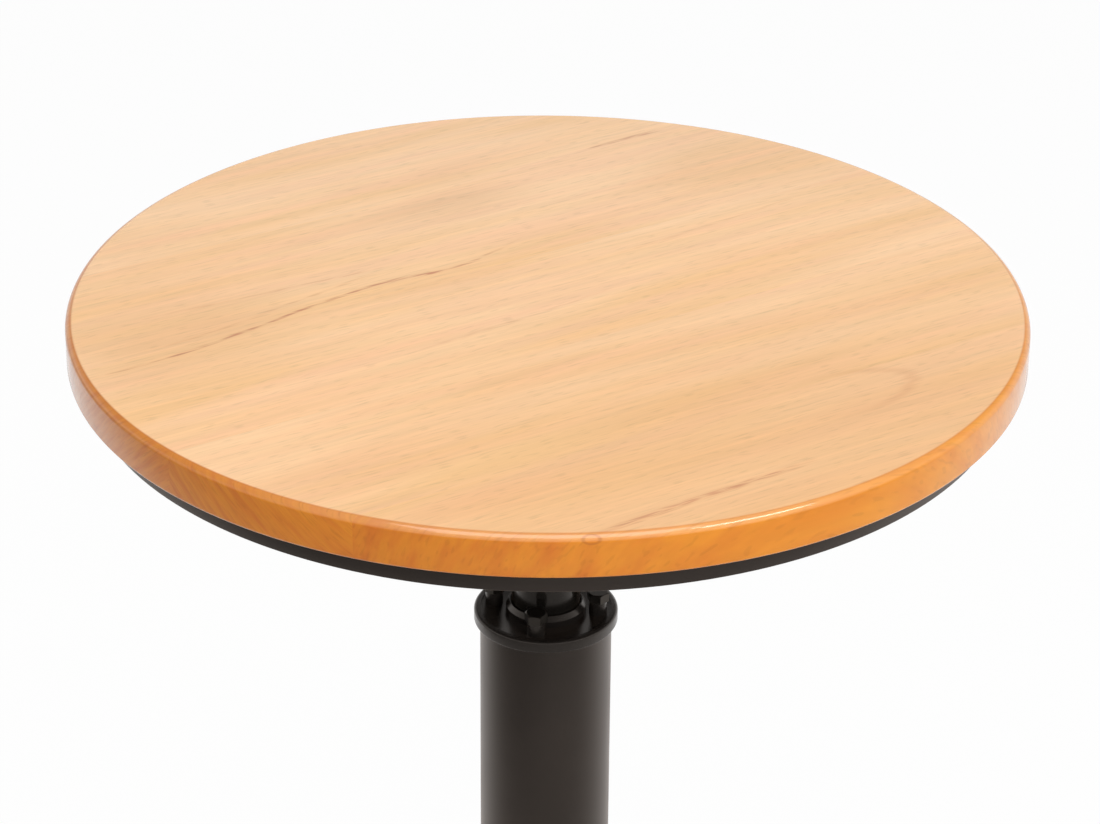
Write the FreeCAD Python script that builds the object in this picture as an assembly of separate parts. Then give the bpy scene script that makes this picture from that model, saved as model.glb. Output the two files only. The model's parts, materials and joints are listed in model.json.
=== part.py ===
import FreeCAD, Part
import math
import os

# Bar table: a round timber top on a post that slides in a steel column and is held by a bolted gland.
# Millimetres, +Z up. The origin is on the floor under the middle of the column, and the front is towards -Y.

# Whole table
table_height = 1030.0           # floor to the top surface, with the post part way out
lift_up_travel = 70.0           # how far the post can still come out from there
lift_end_room = 1.0             # left between the guide and the head ring at the end of that travel
running_gap = 0.3               # radial room where one piece slides or turns in another
hole_gap = 0.25                 # radial room round a bolt, a screw or a socketed tube
cut_overrun = 2.0               # how far a cutting tool passes the face it cuts

# Timber top
top_diameter = 600.0
top_thickness = 27.5
top_upper_round = 5.0
top_round_steps = 4
top_lower_chamfer = 2.0
board_count = 5                 # boards glued edge to edge across the top
grain_angle = 32.0              # degrees from +X towards +Y

# Apron ring under the timber, a rolled flat bar standing on edge
ring_inset = 12.2
ring_height = 15.5
ring_thickness = 5.0
ring_edge_round = 0.6

# Post, and the flange and gussets on its upper end
post_diameter = 45.0
post_wall = 2.5
post_flange_thickness = 6.0
post_flange_land = 7.0          # from a washer to the flange's rim
gusset_count = 4
gusset_height = 30.0
gusset_reach = 22.0
gusset_toe = 4.0
gusset_thickness = 5.0

# Bolts and washers between the post flange and the hub plate
flange_bolt_count = 4
flange_bolt_offset = 27.5       # from the post's wall
flange_bolt_diameter = 8.0
flange_bolt_head_width = 13.0
flange_bolt_head_height = 5.3
flange_bolt_tip_room = 1.0      # from the bolt's end to the timber
flange_washer_diameter = 16.0
flange_washer_thickness = 1.6

# Frame of flat arms between the hub plate and the ring
frame_plate_thickness = 6.0
hub_plate_margin = 10.0         # past the post flange
arm_count = 4
arm_width = 30.0
first_arm_angle = 45.0

# Wood screws, two in each arm
screw_diameter = 5.0
screw_head_diameter = 10.0
screw_head_height = 3.0
screw_head_round = 1.2
screw_depth_in_timber = 18.0
screw_inset = 45.0              # from either end of an arm

# Guide on the post's lower end, a cup that runs in the column
guide_wall = 17.9
guide_floor = 15.0
guide_sleeve_height = 104.0     # how far the cup reaches up the post
guide_edge_round = 2.0
nut_plate_thickness = 8.0
guide_bolt_diameter = 8.0
guide_bolt_head_width = 13.0
guide_bolt_head_height = 5.3
guide_washer_diameter = 24.0
guide_washer_thickness = 2.0

# Column, with the head ring inside its upper end
column_wall = 2.0
column_top_drop = 229.9         # from the top surface down to the column's upper end
head_ring_thickness = 25.0
head_ring_land = 2.35           # between a bolt hole and the ring's rim

# Gland cap on the column, a dished flange with a boss round the post
gland_flange_overhang = 4.0     # past the column's wall
gland_flange_thickness = 8.4
gland_flange_round = 2.0
gland_flange_lower_round = 0.8
gland_rim_width = 4.2           # the raised rim round the flange's dish
gland_dish_depth = 0.7          # at the rim
gland_dish_fall = 1.2           # how much the dish's floor falls towards the boss
gland_boss_wall = 3.6           # from the post's wall to the boss's rim
gland_boss_height = 5.6
gland_boss_slope_height = 3.4
gland_boss_land = 0.7           # the flat lip round the bore
gland_bore_gap = 0.8            # radial room between the cap and the post
bolt_seat_diameter = 11.7
bolt_seat_height = 8.5

# Gland bolts
gland_bolt_count = 4
first_gland_bolt_angle = -100.5  # just left of the front
gland_bolt_turn = 30.5          # of the first head, from a corner pointing outwards
gland_bolt_turn_step = 22.0     # more on each next head
gland_bolt_diameter = 8.0
gland_bolt_length = 38.0
gland_bolt_head_width = 13.0
gland_bolt_head_height = 6.2

# Split collet squeezed between the gland cap and the head ring
collet_waist_wall = 4.0
collet_end_wall = 2.0
collet_upper_height = 5.0
collet_lower_height = 18.0
collet_slot_width = 3.0
collet_seat_gap = 0.1

# Column foot, a socket with a flange
foot_hub_wall = 8.75
foot_hub_height = 55.0          # above the base plate
foot_hub_round = 3.0
foot_fillet = 14.0
foot_flange_thickness = 12.0
foot_flange_round = 2.5
foot_bolt_land = 2.0            # from the fillet to a washer
foot_flange_land = 7.0          # from a washer to the flange's rim

# Set screws through the foot's hub
set_screw_count = 3
set_screw_height = 38.0         # above the base plate
set_screw_diameter = 8.0
set_screw_sink = 0.5            # below the hub's face
set_screw_socket_width = 4.0
set_screw_socket_depth = 4.0
first_set_screw_angle = 90.0

# Bolts and washers between the foot and the base plate
foot_bolt_count = 4
first_foot_bolt_angle = 45.0
foot_bolt_diameter = 10.0
foot_bolt_head_width = 16.0
foot_bolt_head_height = 6.4
foot_bolt_tip_room = 2.0        # from the bolt's end to the underside of the base plate
foot_washer_diameter = 20.0
foot_washer_thickness = 2.0

# Base plate
base_diameter = 460.0
base_thickness = 12.0
base_upper_round = 4.0
base_lower_round = 1.0

# Levelling glides
glide_count = 4
glide_inset = 30.0              # from the base plate's rim to a glide's middle
first_glide_angle = 45.0
glide_pad_diameter = 34.0
glide_pad_height = 8.0
glide_pad_round = 2.0
glide_stem_diameter = 8.0
glide_stem_in_pad = 5.0
glide_stem_in_plate = 9.0
glide_hole_end_room = 0.5

# Angles of a hexagon and of a bolt head's chamfer, and what counts as the same place
hexagon_sides = 6
head_chamfer_angle = 30.0
same_place = 0.001

# Heights that follow
base_bottom = glide_pad_height
base_top = base_bottom + base_thickness
timber_bottom = table_height - top_thickness
frame_bottom = timber_bottom - frame_plate_thickness
post_top = frame_bottom - post_flange_thickness
column_top = table_height - column_top_drop
head_ring_bottom = column_top - head_ring_thickness
gland_flange_top = column_top + gland_flange_thickness
gland_dish_floor = gland_flange_top - gland_dish_depth
gland_dish_bottom = gland_dish_floor - gland_dish_fall
gland_boss_top = gland_flange_top + gland_boss_height
gland_boss_shoulder = gland_boss_top - gland_boss_slope_height
bolt_seat_top = gland_flange_top + bolt_seat_height
guide_top = head_ring_bottom - lift_up_travel - lift_end_room
post_bottom = guide_top - guide_sleeve_height
guide_bottom = post_bottom - guide_floor
foot_flange_top = base_top + foot_flange_thickness
foot_hub_top = base_top + foot_hub_height

# Radii that follow, from the middle outwards
post_radius = post_diameter / 2
post_bore_radius = post_radius - post_wall
collet_bore_radius = post_radius + running_gap
collet_end_radius = post_radius + collet_end_wall
collet_waist_radius = post_radius + collet_waist_wall
gland_bore_radius = post_radius + gland_bore_gap
gland_boss_radius = post_radius + gland_boss_wall
gland_lip_radius = gland_bore_radius + gland_boss_land
guide_radius = post_radius + running_gap + guide_wall
column_bore_radius = guide_radius + running_gap
column_radius = column_bore_radius + column_wall
gland_bolt_hole_radius = gland_bolt_diameter / 2 + hole_gap
gland_bolt_ring = column_bore_radius - head_ring_land - gland_bolt_hole_radius
gland_flange_radius = column_radius + gland_flange_overhang
gland_dish_radius = gland_flange_radius - gland_rim_width
flange_bolt_ring = post_radius + flange_bolt_offset
post_flange_radius = flange_bolt_ring + flange_washer_diameter / 2 + post_flange_land
hub_plate_radius = post_flange_radius + hub_plate_margin
top_radius = top_diameter / 2
ring_radius = top_radius - ring_inset
ring_inner_radius = ring_radius - ring_thickness
foot_bore_radius = column_radius + hole_gap
foot_hub_radius = foot_bore_radius + foot_hub_wall
foot_bolt_ring = foot_hub_radius + foot_fillet + foot_bolt_land + foot_washer_diameter / 2
foot_flange_radius = foot_bolt_ring + foot_washer_diameter / 2 + foot_flange_land
base_radius = base_diameter / 2
glide_ring = base_radius - glide_inset

up = FreeCAD.Vector(0, 0, 1)
middle = FreeCAD.Vector(0, 0, 0)


def polar(radius, angle, height=0.0):
    turn = math.radians(angle)
    return FreeCAD.Vector(radius * math.cos(turn), radius * math.sin(turn), height)


def spread(count, first_angle):
    return [first_angle + 360.0 * index / count for index in range(count)]


def places(count, first_angle, radius, height=0.0):
    return [polar(radius, angle, height) for angle in spread(count, first_angle)]


def disc(radius, bottom, top, at=middle):
    return Part.makeCylinder(radius, top - bottom, FreeCAD.Vector(at.x, at.y, bottom), up)


def tube(outer_radius, inner_radius, bottom, top):
    bore = disc(inner_radius, bottom - cut_overrun, top + cut_overrun)
    return disc(outer_radius, bottom, top).cut(bore)


def cone(lower_radius, upper_radius, bottom, top):
    return Part.makeCone(lower_radius, upper_radius, top - bottom, FreeCAD.Vector(0, 0, bottom), up)


def hexagon(width, bottom, top):
    corner_radius = width / 2 / math.cos(math.pi / hexagon_sides)
    corners = places(hexagon_sides, 0.0, corner_radius, bottom)
    face = Part.Face(Part.makePolygon(corners + corners[:1]))
    return face.extrude(FreeCAD.Vector(0, 0, top - bottom))


def is_rim(edge, radius, height):
    if not isinstance(edge.Curve, Part.Circle):
        return False
    same_radius = abs(edge.Curve.Radius - radius) < same_place
    same_height = abs(edge.Curve.Center.z - height) < same_place
    return same_radius and same_height


def rims_of(shape, radius, height):
    return [edge for edge in shape.Edges if is_rim(edge, radius, height)]


def with_round_rim(shape, radius, height, size):
    return shape.makeFillet(size, rims_of(shape, radius, height))


def drilled(shape, hole_radius, bottom, top, at_places):
    holes = [disc(hole_radius, bottom - cut_overrun, top + cut_overrun, at) for at in at_places]
    return shape.cut(Part.makeCompound(holes))


def hex_bolt(head_width, head_height, diameter, length):
    # The head stands on the plane of zero height, and the shank goes down from it
    slope = math.tan(math.radians(head_chamfer_angle))
    chamfer = cone(head_width / 2 + head_height / slope, head_width / 2, 0, head_height)
    head = hexagon(head_width, 0, head_height).common(chamfer)
    return head.fuse(disc(diameter / 2, -length, 0)).removeSplitter()


def set_down(shape, at, height, angle=0.0):
    # Turns a piece that was made on the plane of zero height, and stands it at its place
    copy = shape.copy()
    copy.rotate(middle, up, angle)
    copy.translate(FreeCAD.Vector(at.x, at.y, height))
    return copy


def hung_up(shape, at, height, angle=0.0):
    # The same for a piece whose head points down
    copy = shape.copy()
    copy.rotate(middle, FreeCAD.Vector(1, 0, 0), 180.0)
    return set_down(copy, at, height, angle)


# Timber top
def screw_places():
    radii = (hub_plate_radius + screw_inset, ring_inner_radius - screw_inset)
    return [polar(radius, angle) for angle in spread(arm_count, first_arm_angle) for radius in radii]


def timber_section():
    # Half of the section, out from the axis; the rounded rim is walked in short straight steps
    points = [(0.0, timber_bottom), (top_radius - top_lower_chamfer, timber_bottom),
              (top_radius, timber_bottom + top_lower_chamfer)]
    for step in range(top_round_steps + 1):
        lean = math.radians(90.0 * step / top_round_steps)
        points.append((top_radius - top_upper_round * (1 - math.cos(lean)),
                       table_height - top_upper_round * (1 - math.sin(lean))))
    return points + [(0.0, table_height)]


def timber_blank():
    corners = [FreeCAD.Vector(radius, 0, height) for radius, height in timber_section()]
    blank = Part.Face(Part.makePolygon(corners + corners[:1])).revolve(middle, up, 360.0)
    hole_top = timber_bottom + screw_depth_in_timber
    return drilled(blank, screw_diameter / 2 + hole_gap, timber_bottom, hole_top, screw_places())


def board(blank, index):
    width = top_diameter / board_count
    low = index * width - top_radius
    high = low + width
    if index == 0:
        low -= cut_overrun
    if index == board_count - 1:
        high += cut_overrun
    reach = top_radius + cut_overrun
    corner = FreeCAD.Vector(-reach, low, timber_bottom - cut_overrun)
    strip = Part.makeBox(2 * reach, high - low, top_thickness + 2 * cut_overrun, corner)
    strip.rotate(middle, up, grain_angle)
    return blank.common(strip)


# Frame under the timber
def apron_ring():
    bottom = timber_bottom - ring_height
    ring = tube(ring_radius, ring_inner_radius, bottom, timber_bottom)
    ring = with_round_rim(ring, ring_radius, bottom, ring_edge_round)
    return with_round_rim(ring, ring_inner_radius, bottom, ring_edge_round)


def cross_arm(angle):
    corner = FreeCAD.Vector(0, -arm_width / 2, frame_bottom)
    bar = Part.makeBox(ring_radius, arm_width, frame_plate_thickness, corner)
    bar.rotate(middle, up, angle)
    bar = bar.common(disc(ring_inner_radius, frame_bottom, timber_bottom))
    bar = bar.cut(disc(hub_plate_radius, frame_bottom - cut_overrun, timber_bottom + cut_overrun))
    return drilled(bar, screw_diameter / 2 + hole_gap, frame_bottom, timber_bottom, screw_places())


def top_screws():
    head = disc(screw_head_diameter / 2, 0, screw_head_height)
    head = with_round_rim(head, screw_head_diameter / 2, screw_head_height, screw_head_round)
    length = frame_plate_thickness + screw_depth_in_timber
    screw = head.fuse(disc(screw_diameter / 2, -length, 0)).removeSplitter()
    return Part.makeCompound([hung_up(screw, at, frame_bottom) for at in screw_places()])


def flange_bolt_places():
    return places(flange_bolt_count, 0.0, flange_bolt_ring)


def hub_plate():
    plate = disc(hub_plate_radius, frame_bottom, timber_bottom)
    return drilled(plate, flange_bolt_diameter / 2 + hole_gap, frame_bottom, timber_bottom, flange_bolt_places())


# Post
def post_flange():
    plate = disc(post_flange_radius, post_top, frame_bottom)
    return drilled(plate, flange_bolt_diameter / 2 + hole_gap, post_top, frame_bottom, flange_bolt_places())


def post_gusset(angle):
    low = post_top - gusset_height
    outline = [
        FreeCAD.Vector(post_bore_radius, 0, low),
        FreeCAD.Vector(post_radius + gusset_toe, 0, low),
        FreeCAD.Vector(post_radius + gusset_reach, 0, post_top - gusset_toe),
        FreeCAD.Vector(post_radius + gusset_reach, 0, post_top),
        FreeCAD.Vector(post_bore_radius, 0, post_top),
    ]
    face = Part.Face(Part.makePolygon(outline + outline[:1]))
    face.translate(FreeCAD.Vector(0, -gusset_thickness / 2, 0))
    web = face.extrude(FreeCAD.Vector(0, gusset_thickness, 0))
    web = web.cut(disc(post_radius, low - cut_overrun, post_top + cut_overrun))
    web.rotate(middle, up, angle)
    return web


def flange_washers():
    washer = tube(flange_washer_diameter / 2, flange_bolt_diameter / 2 + hole_gap, 0, flange_washer_thickness)
    bottom = post_top - flange_washer_thickness
    return Part.makeCompound([set_down(washer, at, bottom) for at in flange_bolt_places()])


def flange_bolts():
    seat = post_top - flange_washer_thickness
    length = timber_bottom - flange_bolt_tip_room - seat
    bolt = hex_bolt(flange_bolt_head_width, flange_bolt_head_height, flange_bolt_diameter, length)
    return Part.makeCompound([hung_up(bolt, at, seat) for at in flange_bolt_places()])


def post_nut_plate():
    hole_radius = guide_bolt_diameter / 2 + hole_gap
    return tube(post_bore_radius, hole_radius, post_bottom, post_bottom + nut_plate_thickness)


def post_guide():
    cup = disc(guide_radius, guide_bottom, guide_top)
    cup = with_round_rim(cup, guide_radius, guide_top, guide_edge_round)
    cup = with_round_rim(cup, guide_radius, guide_bottom, guide_edge_round)
    cup = cup.cut(disc(post_radius + running_gap, post_bottom, guide_top + cut_overrun))
    return drilled(cup, guide_bolt_diameter / 2 + running_gap, guide_bottom, post_bottom, [middle])


def guide_washer():
    hole_radius = guide_bolt_diameter / 2 + hole_gap
    return tube(guide_washer_diameter / 2, hole_radius, guide_bottom - guide_washer_thickness, guide_bottom)


def guide_bolt():
    seat = guide_bottom - guide_washer_thickness
    length = post_bottom + nut_plate_thickness - seat
    bolt = hex_bolt(guide_bolt_head_width, guide_bolt_head_height, guide_bolt_diameter, length)
    return hung_up(bolt, middle, seat)


# Column head and gland
def gland_bolt_places():
    return places(gland_bolt_count, first_gland_bolt_angle, gland_bolt_ring)


def head_ring():
    ring = disc(column_bore_radius, head_ring_bottom, column_top)
    end_radius = collet_end_radius + collet_seat_gap
    waist_radius = collet_waist_radius + collet_seat_gap
    ring = drilled(ring, end_radius, head_ring_bottom, column_top, [middle])
    ring = ring.cut(cone(end_radius, waist_radius, column_top - collet_lower_height, column_top))
    return drilled(ring, gland_bolt_hole_radius, head_ring_bottom, column_top, gland_bolt_places())


def clamp_collet():
    low = column_top - collet_lower_height
    high = column_top + collet_upper_height
    lower = cone(collet_end_radius, collet_waist_radius, low, column_top)
    upper = cone(collet_waist_radius, collet_end_radius, column_top, high)
    ring = drilled(lower.fuse(upper), collet_bore_radius, low, high, [middle])
    corner = FreeCAD.Vector(-collet_slot_width / 2, 0, low - cut_overrun)
    slot = Part.makeBox(collet_slot_width, collet_waist_radius, high - low + 2 * cut_overrun, corner)
    return ring.cut(slot)


def gland_cap():
    flange = disc(gland_flange_radius, column_top, gland_flange_top)
    flange = with_round_rim(flange, gland_flange_radius, gland_flange_top, gland_flange_round)
    flange = with_round_rim(flange, gland_flange_radius, column_top, gland_flange_lower_round)
    flange = flange.cut(disc(gland_dish_radius, gland_dish_floor, gland_flange_top + cut_overrun))
    flange = flange.cut(cone(gland_boss_radius, gland_dish_radius, gland_dish_bottom, gland_dish_floor))
    boss = disc(gland_boss_radius, column_top, gland_boss_shoulder)
    slope = cone(gland_boss_radius, gland_lip_radius, gland_boss_shoulder, gland_boss_top)
    seats = [disc(bolt_seat_diameter / 2, column_top, bolt_seat_top, at) for at in gland_bolt_places()]
    cap = flange.multiFuse([boss, slope] + seats).removeSplitter()
    cap = drilled(cap, gland_bore_radius, column_top, gland_boss_top, [middle])
    waist_radius = collet_waist_radius + collet_seat_gap
    end_radius = collet_end_radius + collet_seat_gap
    cap = cap.cut(cone(waist_radius, end_radius, column_top, column_top + collet_upper_height))
    return drilled(cap, gland_bolt_hole_radius, column_top, bolt_seat_top, gland_bolt_places())


def gland_bolts():
    bolt = hex_bolt(gland_bolt_head_width, gland_bolt_head_height, gland_bolt_diameter, gland_bolt_length)
    set_bolts = []
    for index, angle in enumerate(spread(gland_bolt_count, first_gland_bolt_angle)):
        turn = angle + gland_bolt_turn + index * gland_bolt_turn_step
        set_bolts.append(set_down(bolt, polar(gland_bolt_ring, angle), bolt_seat_top, turn))
    return Part.makeCompound(set_bolts)


# Column foot and base
def foot_bolt_places():
    return places(foot_bolt_count, first_foot_bolt_angle, foot_bolt_ring)


def set_screw_shape(radius, inner, outer, angle):
    rod = disc(radius, inner, outer)
    rod.rotate(middle, FreeCAD.Vector(0, 1, 0), 90.0)
    rod.rotate(middle, up, angle)
    rod.translate(FreeCAD.Vector(0, 0, base_top + set_screw_height))
    return rod


def column_foot():
    flange = disc(foot_flange_radius, base_top, foot_flange_top)
    foot = flange.fuse(disc(foot_hub_radius, base_top, foot_hub_top)).removeSplitter()
    foot = with_round_rim(foot, foot_hub_radius, foot_flange_top, foot_fillet)
    foot = with_round_rim(foot, foot_hub_radius, foot_hub_top, foot_hub_round)
    foot = with_round_rim(foot, foot_flange_radius, foot_flange_top, foot_flange_round)
    foot = drilled(foot, foot_bore_radius, base_top, foot_hub_top, [middle])
    hole_radius = set_screw_diameter / 2 + hole_gap
    for angle in spread(set_screw_count, first_set_screw_angle):
        foot = foot.cut(set_screw_shape(hole_radius, column_radius, foot_hub_radius + cut_overrun, angle))
    return drilled(foot, foot_bolt_diameter / 2 + hole_gap, base_top, foot_flange_top, foot_bolt_places())


def foot_set_screws():
    screws = []
    for angle in spread(set_screw_count, first_set_screw_angle):
        end = foot_hub_radius - set_screw_sink
        screw = set_screw_shape(set_screw_diameter / 2, column_radius, end, angle)
        socket = hexagon(set_screw_socket_width, end - set_screw_socket_depth, end + cut_overrun)
        socket.rotate(middle, FreeCAD.Vector(0, 1, 0), 90.0)
        socket.rotate(middle, up, angle)
        socket.translate(FreeCAD.Vector(0, 0, base_top + set_screw_height))
        screws.append(screw.cut(socket))
    return Part.makeCompound(screws)


def foot_washers():
    washer = tube(foot_washer_diameter / 2, foot_bolt_diameter / 2 + hole_gap, 0, foot_washer_thickness)
    return Part.makeCompound([set_down(washer, at, foot_flange_top) for at in foot_bolt_places()])


def foot_bolts():
    seat = foot_flange_top + foot_washer_thickness
    length = seat - base_bottom - foot_bolt_tip_room
    bolt = hex_bolt(foot_bolt_head_width, foot_bolt_head_height, foot_bolt_diameter, length)
    return Part.makeCompound([set_down(bolt, at, seat) for at in foot_bolt_places()])


def glide_places():
    return places(glide_count, first_glide_angle, glide_ring)


def base_plate():
    plate = disc(base_radius, base_bottom, base_top)
    plate = with_round_rim(plate, base_radius, base_top, base_upper_round)
    plate = with_round_rim(plate, base_radius, base_bottom, base_lower_round)
    plate = drilled(plate, foot_bolt_diameter / 2 + hole_gap, base_bottom, base_top, foot_bolt_places())
    hole_radius = glide_stem_diameter / 2 + running_gap
    hole_top = base_bottom + glide_stem_in_plate + glide_hole_end_room
    holes = [disc(hole_radius, base_bottom - cut_overrun, hole_top, at) for at in glide_places()]
    return plate.cut(Part.makeCompound(holes))


def glide_stem(at):
    return disc(glide_stem_diameter / 2, base_bottom - glide_stem_in_pad, base_bottom + glide_stem_in_plate, at)


def glide_pad(at):
    pad = disc(glide_pad_diameter / 2, 0, glide_pad_height, at)
    pad = with_round_rim(pad, glide_pad_diameter / 2, 0, glide_pad_round)
    return pad.cut(glide_stem(at))


def all_pieces():
    pieces = {}
    blank = timber_blank()
    for index in range(board_count):
        pieces[f"top_board_{index + 1}"] = board(blank, index)
    pieces["apron_ring"] = apron_ring()
    pieces["hub_plate"] = hub_plate()
    for index, angle in enumerate(spread(arm_count, first_arm_angle)):
        pieces[f"cross_arm_{index + 1}"] = cross_arm(angle)
    pieces["top_screws"] = top_screws()

    pieces["post_tube"] = tube(post_radius, post_bore_radius, post_bottom, post_top)
    pieces["post_flange"] = post_flange()
    for index, angle in enumerate(spread(gusset_count, first_arm_angle)):
        pieces[f"post_gusset_{index + 1}"] = post_gusset(angle)
    pieces["flange_washers"] = flange_washers()
    pieces["flange_bolts"] = flange_bolts()
    pieces["post_nut_plate"] = post_nut_plate()
    pieces["post_guide"] = post_guide()
    pieces["guide_washer"] = guide_washer()
    pieces["guide_bolt"] = guide_bolt()

    pieces["column_tube"] = tube(column_radius, column_bore_radius, base_top, column_top)
    pieces["head_ring"] = head_ring()
    pieces["clamp_collet"] = clamp_collet()
    pieces["gland_cap"] = gland_cap()
    pieces["gland_bolts"] = gland_bolts()

    pieces["column_foot"] = column_foot()
    pieces["foot_set_screws"] = foot_set_screws()
    pieces["foot_washers"] = foot_washers()
    pieces["foot_bolts"] = foot_bolts()
    pieces["base_plate"] = base_plate()
    for index, at in enumerate(glide_places()):
        pieces[f"glide_stem_{index + 1}"] = glide_stem(at)
        pieces[f"glide_pad_{index + 1}"] = glide_pad(at)
    return pieces


os.makedirs("parts", exist_ok=True)
for name, shape in all_pieces().items():
    print(name, "valid" if shape.isValid() else "NOT VALID", len(shape.Solids), round(shape.Volume, 1))
    shape.exportStep(f"parts/{name}.step")
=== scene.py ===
import bpy
import json
import math
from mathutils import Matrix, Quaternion, Vector


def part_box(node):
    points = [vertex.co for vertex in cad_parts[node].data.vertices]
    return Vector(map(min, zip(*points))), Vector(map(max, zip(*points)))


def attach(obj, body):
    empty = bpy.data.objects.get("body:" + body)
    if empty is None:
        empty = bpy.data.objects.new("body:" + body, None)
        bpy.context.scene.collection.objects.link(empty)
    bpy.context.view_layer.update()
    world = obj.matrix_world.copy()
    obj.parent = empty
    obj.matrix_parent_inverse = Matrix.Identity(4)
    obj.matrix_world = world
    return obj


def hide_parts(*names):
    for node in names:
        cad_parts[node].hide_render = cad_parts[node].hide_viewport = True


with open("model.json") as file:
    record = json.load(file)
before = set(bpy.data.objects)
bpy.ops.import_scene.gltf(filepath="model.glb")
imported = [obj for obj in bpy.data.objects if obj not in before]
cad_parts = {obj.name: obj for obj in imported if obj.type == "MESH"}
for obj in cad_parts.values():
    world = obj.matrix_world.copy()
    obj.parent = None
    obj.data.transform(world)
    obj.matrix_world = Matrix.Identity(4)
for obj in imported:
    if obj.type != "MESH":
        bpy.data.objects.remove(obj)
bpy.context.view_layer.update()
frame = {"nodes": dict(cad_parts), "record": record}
cadNodes = frame["nodes"]
mm = 0.001
samePoint = 1e-6        # metres: points this close are one
sameCorner = 1e-5       # metres: a point this close to a corner lies on it

print("frame loaded:", len(cadNodes), "nodes")


# Small tools

def linear(hexColour):
    channels = [int(hexColour[i:i + 2], 16) / 255 for i in (1, 3, 5)]
    return [c / 12.92 if c <= 0.04045 else ((c + 0.055) / 1.055) ** 2.4 for c in channels] + [1.0]


def addNode(tree, kind, inputs=None, **settings):
    # inputs: socket name or number -> a value, or (node, its output's name or number)
    node = tree.nodes.new(kind)
    for key, value in settings.items():
        setattr(node, key, value)
    for key, value in (inputs or {}).items():
        if isinstance(value, tuple) and isinstance(value[0], bpy.types.Node):
            tree.links.new(value[0].outputs[value[1]], node.inputs[key])
        else:
            node.inputs[key].default_value = value
    return node


def startMaterial(name, shaderValues):
    material = bpy.data.materials.new(name)
    material.use_nodes = True
    tree = material.node_tree
    tree.nodes.clear()
    shader = addNode(tree, "ShaderNodeBsdfPrincipled", shaderValues)
    addNode(tree, "ShaderNodeOutputMaterial", {"Surface": (shader, "BSDF")})
    return material, tree, shader


def deselectAll():
    if bpy.context.object and bpy.context.object.mode != "OBJECT":
        bpy.ops.object.mode_set(mode="OBJECT")
    bpy.ops.object.select_all(action="DESELECT")


def pickOnly(piece):
    deselectAll()
    piece.select_set(True)
    bpy.context.view_layer.objects.active = piece


def pickEdges(piece, test):
    # Leaves the piece in edit mode with only the edges selected whose two ends pass the test
    pickOnly(piece)
    bpy.ops.object.mode_set(mode="EDIT")
    bpy.ops.mesh.select_mode(type="EDGE")
    bpy.ops.mesh.select_all(action="DESELECT")
    bpy.ops.object.mode_set(mode="OBJECT")
    points = piece.data.vertices
    for edge in piece.data.edges:
        edge.select = all(test(points[i].co) for i in edge.vertices)
    bpy.ops.object.mode_set(mode="EDIT")


def finishPiece(piece, name, material, body, replaced, smoothAngle=30):
    piece.name = name
    piece.data.name = name
    pickOnly(piece)
    bpy.ops.object.transform_apply(location=True, rotation=True, scale=True)
    bpy.ops.object.shade_smooth_by_angle(angle=math.radians(smoothAngle))
    piece.data.materials.clear()
    piece.data.materials.append(material)
    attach(piece, body)
    if replaced:
        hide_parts(*replaced)


# Camera, fitted to the outlines in the photo

cameraSet = {
    "place": (0.0, -2.0292, 2.008028),
    "aim": (0.001752, 0.0, 0.950866),
    "lens": 117.9007,
    "sensor": 36.0,
    "roll": 0.41,           # degrees
}


def makeCamera():
    data = bpy.data.cameras.new("photoCamera")
    camera = bpy.data.objects.new("photoCamera", data)
    bpy.context.scene.collection.objects.link(camera)
    data.lens = cameraSet["lens"]
    data.sensor_width = cameraSet["sensor"]
    camera.location = cameraSet["place"]
    look = Vector(cameraSet["aim"]) - Vector(cameraSet["place"])
    camera.rotation_mode = "QUATERNION"
    turn = Quaternion((0, 0, 1), math.radians(cameraSet["roll"]))
    camera.rotation_quaternion = look.to_track_quat("-Z", "Y") @ turn
    bpy.context.scene.camera = camera


makeCamera()
bpy.context.scene.view_settings.view_transform = "Standard"
print("camera set")


# Studio: white floor and surround, a wide softbox in front above, a key softbox and a strip to the right

studioSet = {
    "floorSize": 80.0,
    "floorColour": "#FCFCFB",
    "white": (1, 1, 1, 1),
    "shadowShare": 0.06,     # how much of the floor's look is its real, shadowed surface
    # what a gloss sees of the floor: darker in front and at the left, and where it rises to white
    "frontFloor": 0.28,
    "frontReach": (-1.4, 1.0),
    "leftFloor": 0.4,
    "leftReach": (-2.4, -0.9),
    "leftSlant": 0.6,        # how far that border runs to the left for each metre back
    # what a gloss sees of the room, by its direction: darker overhead and behind the camera
    "overhead": 0.3,
    "overheadReach": (0.12, 0.55),
    "behind": 0.9,
    "behindReach": (-0.85, -0.1),
    "roomLight": 0.44,
    "lampAim": (0, 0, 1.0),
    "frontSize": (4.0, 4.0),
    "frontPlace": (0.0, -2.35, 5.4),
    "frontPower": 200.0,
    "keySize": (0.95, 0.5),
    "keyPlace": (1.56, -1.86, 1.62),
    "keyPower": 26.0,
    "stripSize": (0.95, 0.34),
    "stripPlace": (1.367, -1.011, 2.73),
    "stripPower": 21.0,
}


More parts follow.
